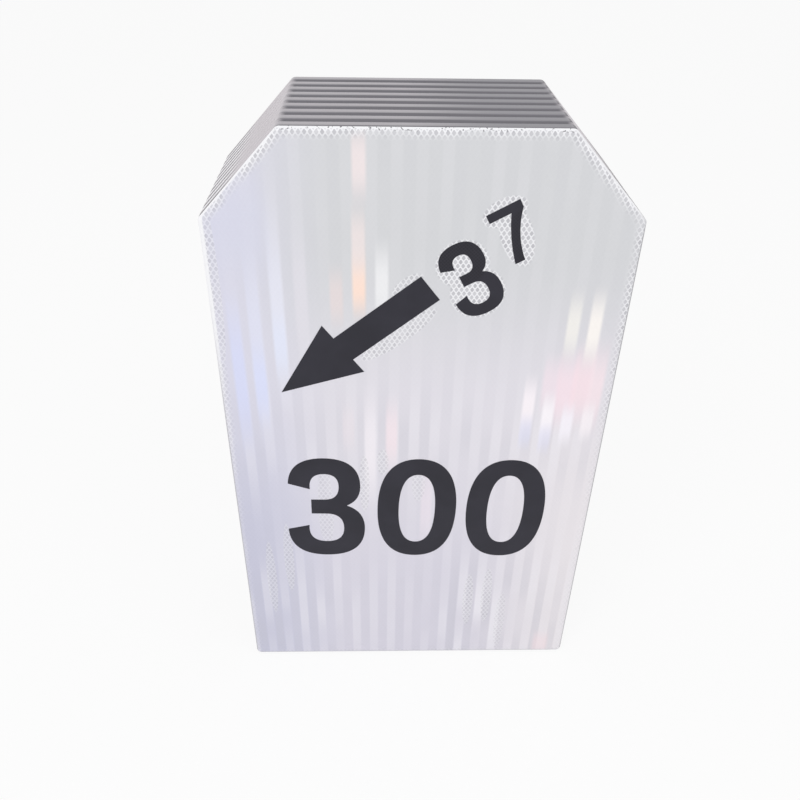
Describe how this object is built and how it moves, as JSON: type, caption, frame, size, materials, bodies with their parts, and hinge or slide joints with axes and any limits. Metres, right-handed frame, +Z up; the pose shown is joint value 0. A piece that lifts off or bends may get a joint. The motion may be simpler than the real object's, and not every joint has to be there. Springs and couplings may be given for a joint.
{
  "type": "gradient marker sign",
  "caption": "Stack of upright rolled-edge marker boards with cut-off top corners, a sloping arrow, a gradient figure and a length figure, each board drawn off forwards.",
  "frame": {"origin": "middle of the stack's footprint, on the surface it stands on", "axes": "+X to the right of a person who reads the sign, +Y from the face to the back, +Z up"},
  "size_m": [0.3, 0.1366, 0.5],
  "materials": {
    "sheet": "satin mill finish",
    "film": "white prismatic retroreflective film",
    "vinyl": "charcoal vinyl",
    "rail": "extruded, satin",
    "rivet": "bright"
  },
  "bodies": {
    "sign_1": {"sign_1_panel": "sheet", "sign_1_sheeting": "film", "sign_1_upper_rail": "rail", "sign_1_lower_rail": "rail", "sign_1_rivets": "rivet", "sign_1_arrow": "vinyl", "sign_1_gradient_digit": "vinyl", "sign_1_tenths_digit": "vinyl", "sign_1_length_digit_left": "vinyl", "sign_1_length_digit_middle": "vinyl", "sign_1_length_digit_right": "vinyl"},
    "sign_2": {"sign_2_panel": "sheet", "sign_2_sheeting": "film", "sign_2_upper_rail": "rail", "sign_2_lower_rail": "rail", "sign_2_rivets": "rivet", "sign_2_legend": "vinyl"},
    "sign_3": {"sign_3_panel": "sheet", "sign_3_sheeting": "film", "sign_3_upper_rail": "rail", "sign_3_lower_rail": "rail", "sign_3_rivets": "rivet", "sign_3_legend": "vinyl"},
    "sign_4": {"sign_4_panel": "sheet", "sign_4_sheeting": "film", "sign_4_upper_rail": "rail", "sign_4_lower_rail": "rail", "sign_4_rivets": "rivet", "sign_4_legend": "vinyl"},
    "sign_5": {"sign_5_panel": "sheet", "sign_5_sheeting": "film", "sign_5_upper_rail": "rail", "sign_5_lower_rail": "rail", "sign_5_rivets": "rivet", "sign_5_legend": "vinyl"},
    "sign_6": {"sign_6_panel": "sheet", "sign_6_sheeting": "film", "sign_6_upper_rail": "rail", "sign_6_lower_rail": "rail", "sign_6_rivets": "rivet", "sign_6_legend": "vinyl"},
    "sign_7": {"sign_7_panel": "sheet", "sign_7_sheeting": "film", "sign_7_upper_rail": "rail", "sign_7_lower_rail": "rail", "sign_7_rivets": "rivet", "sign_7_legend": "vinyl"},
    "sign_8": {"sign_8_panel": "sheet", "sign_8_sheeting": "film", "sign_8_upper_rail": "rail", "sign_8_lower_rail": "rail", "sign_8_rivets": "rivet", "sign_8_legend": "vinyl"},
    "sign_9": {"sign_9_panel": "sheet", "sign_9_sheeting": "film", "sign_9_upper_rail": "rail", "sign_9_lower_rail": "rail", "sign_9_rivets": "rivet", "sign_9_legend": "vinyl"}
  },
  "joints": [
    {"name": "sign_8_draw_off", "type": "slide", "parent": "sign_9", "child": "sign_8", "axis": [0, -1, 0], "range_m": [0, 0.08]},
    {"name": "sign_7_draw_off", "type": "slide", "parent": "sign_8", "child": "sign_7", "axis": [0, -1, 0], "range_m": [0, 0.08]},
    {"name": "sign_6_draw_off", "type": "slide", "parent": "sign_7", "child": "sign_6", "axis": [0, -1, 0], "range_m": [0, 0.08]},
    {"name": "sign_5_draw_off", "type": "slide", "parent": "sign_6", "child": "sign_5", "axis": [0, -1, 0], "range_m": [0, 0.08]},
    {"name": "sign_4_draw_off", "type": "slide", "parent": "sign_5", "child": "sign_4", "axis": [0, -1, 0], "range_m": [0, 0.08]},
    {"name": "sign_3_draw_off", "type": "slide", "parent": "sign_4", "child": "sign_3", "axis": [0, -1, 0], "range_m": [0, 0.08]},
    {"name": "sign_2_draw_off", "type": "slide", "parent": "sign_3", "child": "sign_2", "axis": [0, -1, 0], "range_m": [0, 0.08]},
    {"name": "sign_1_draw_off", "type": "slide", "parent": "sign_2", "child": "sign_1", "axis": [0, -1, 0], "range_m": [0, 0.08]}
  ]
}
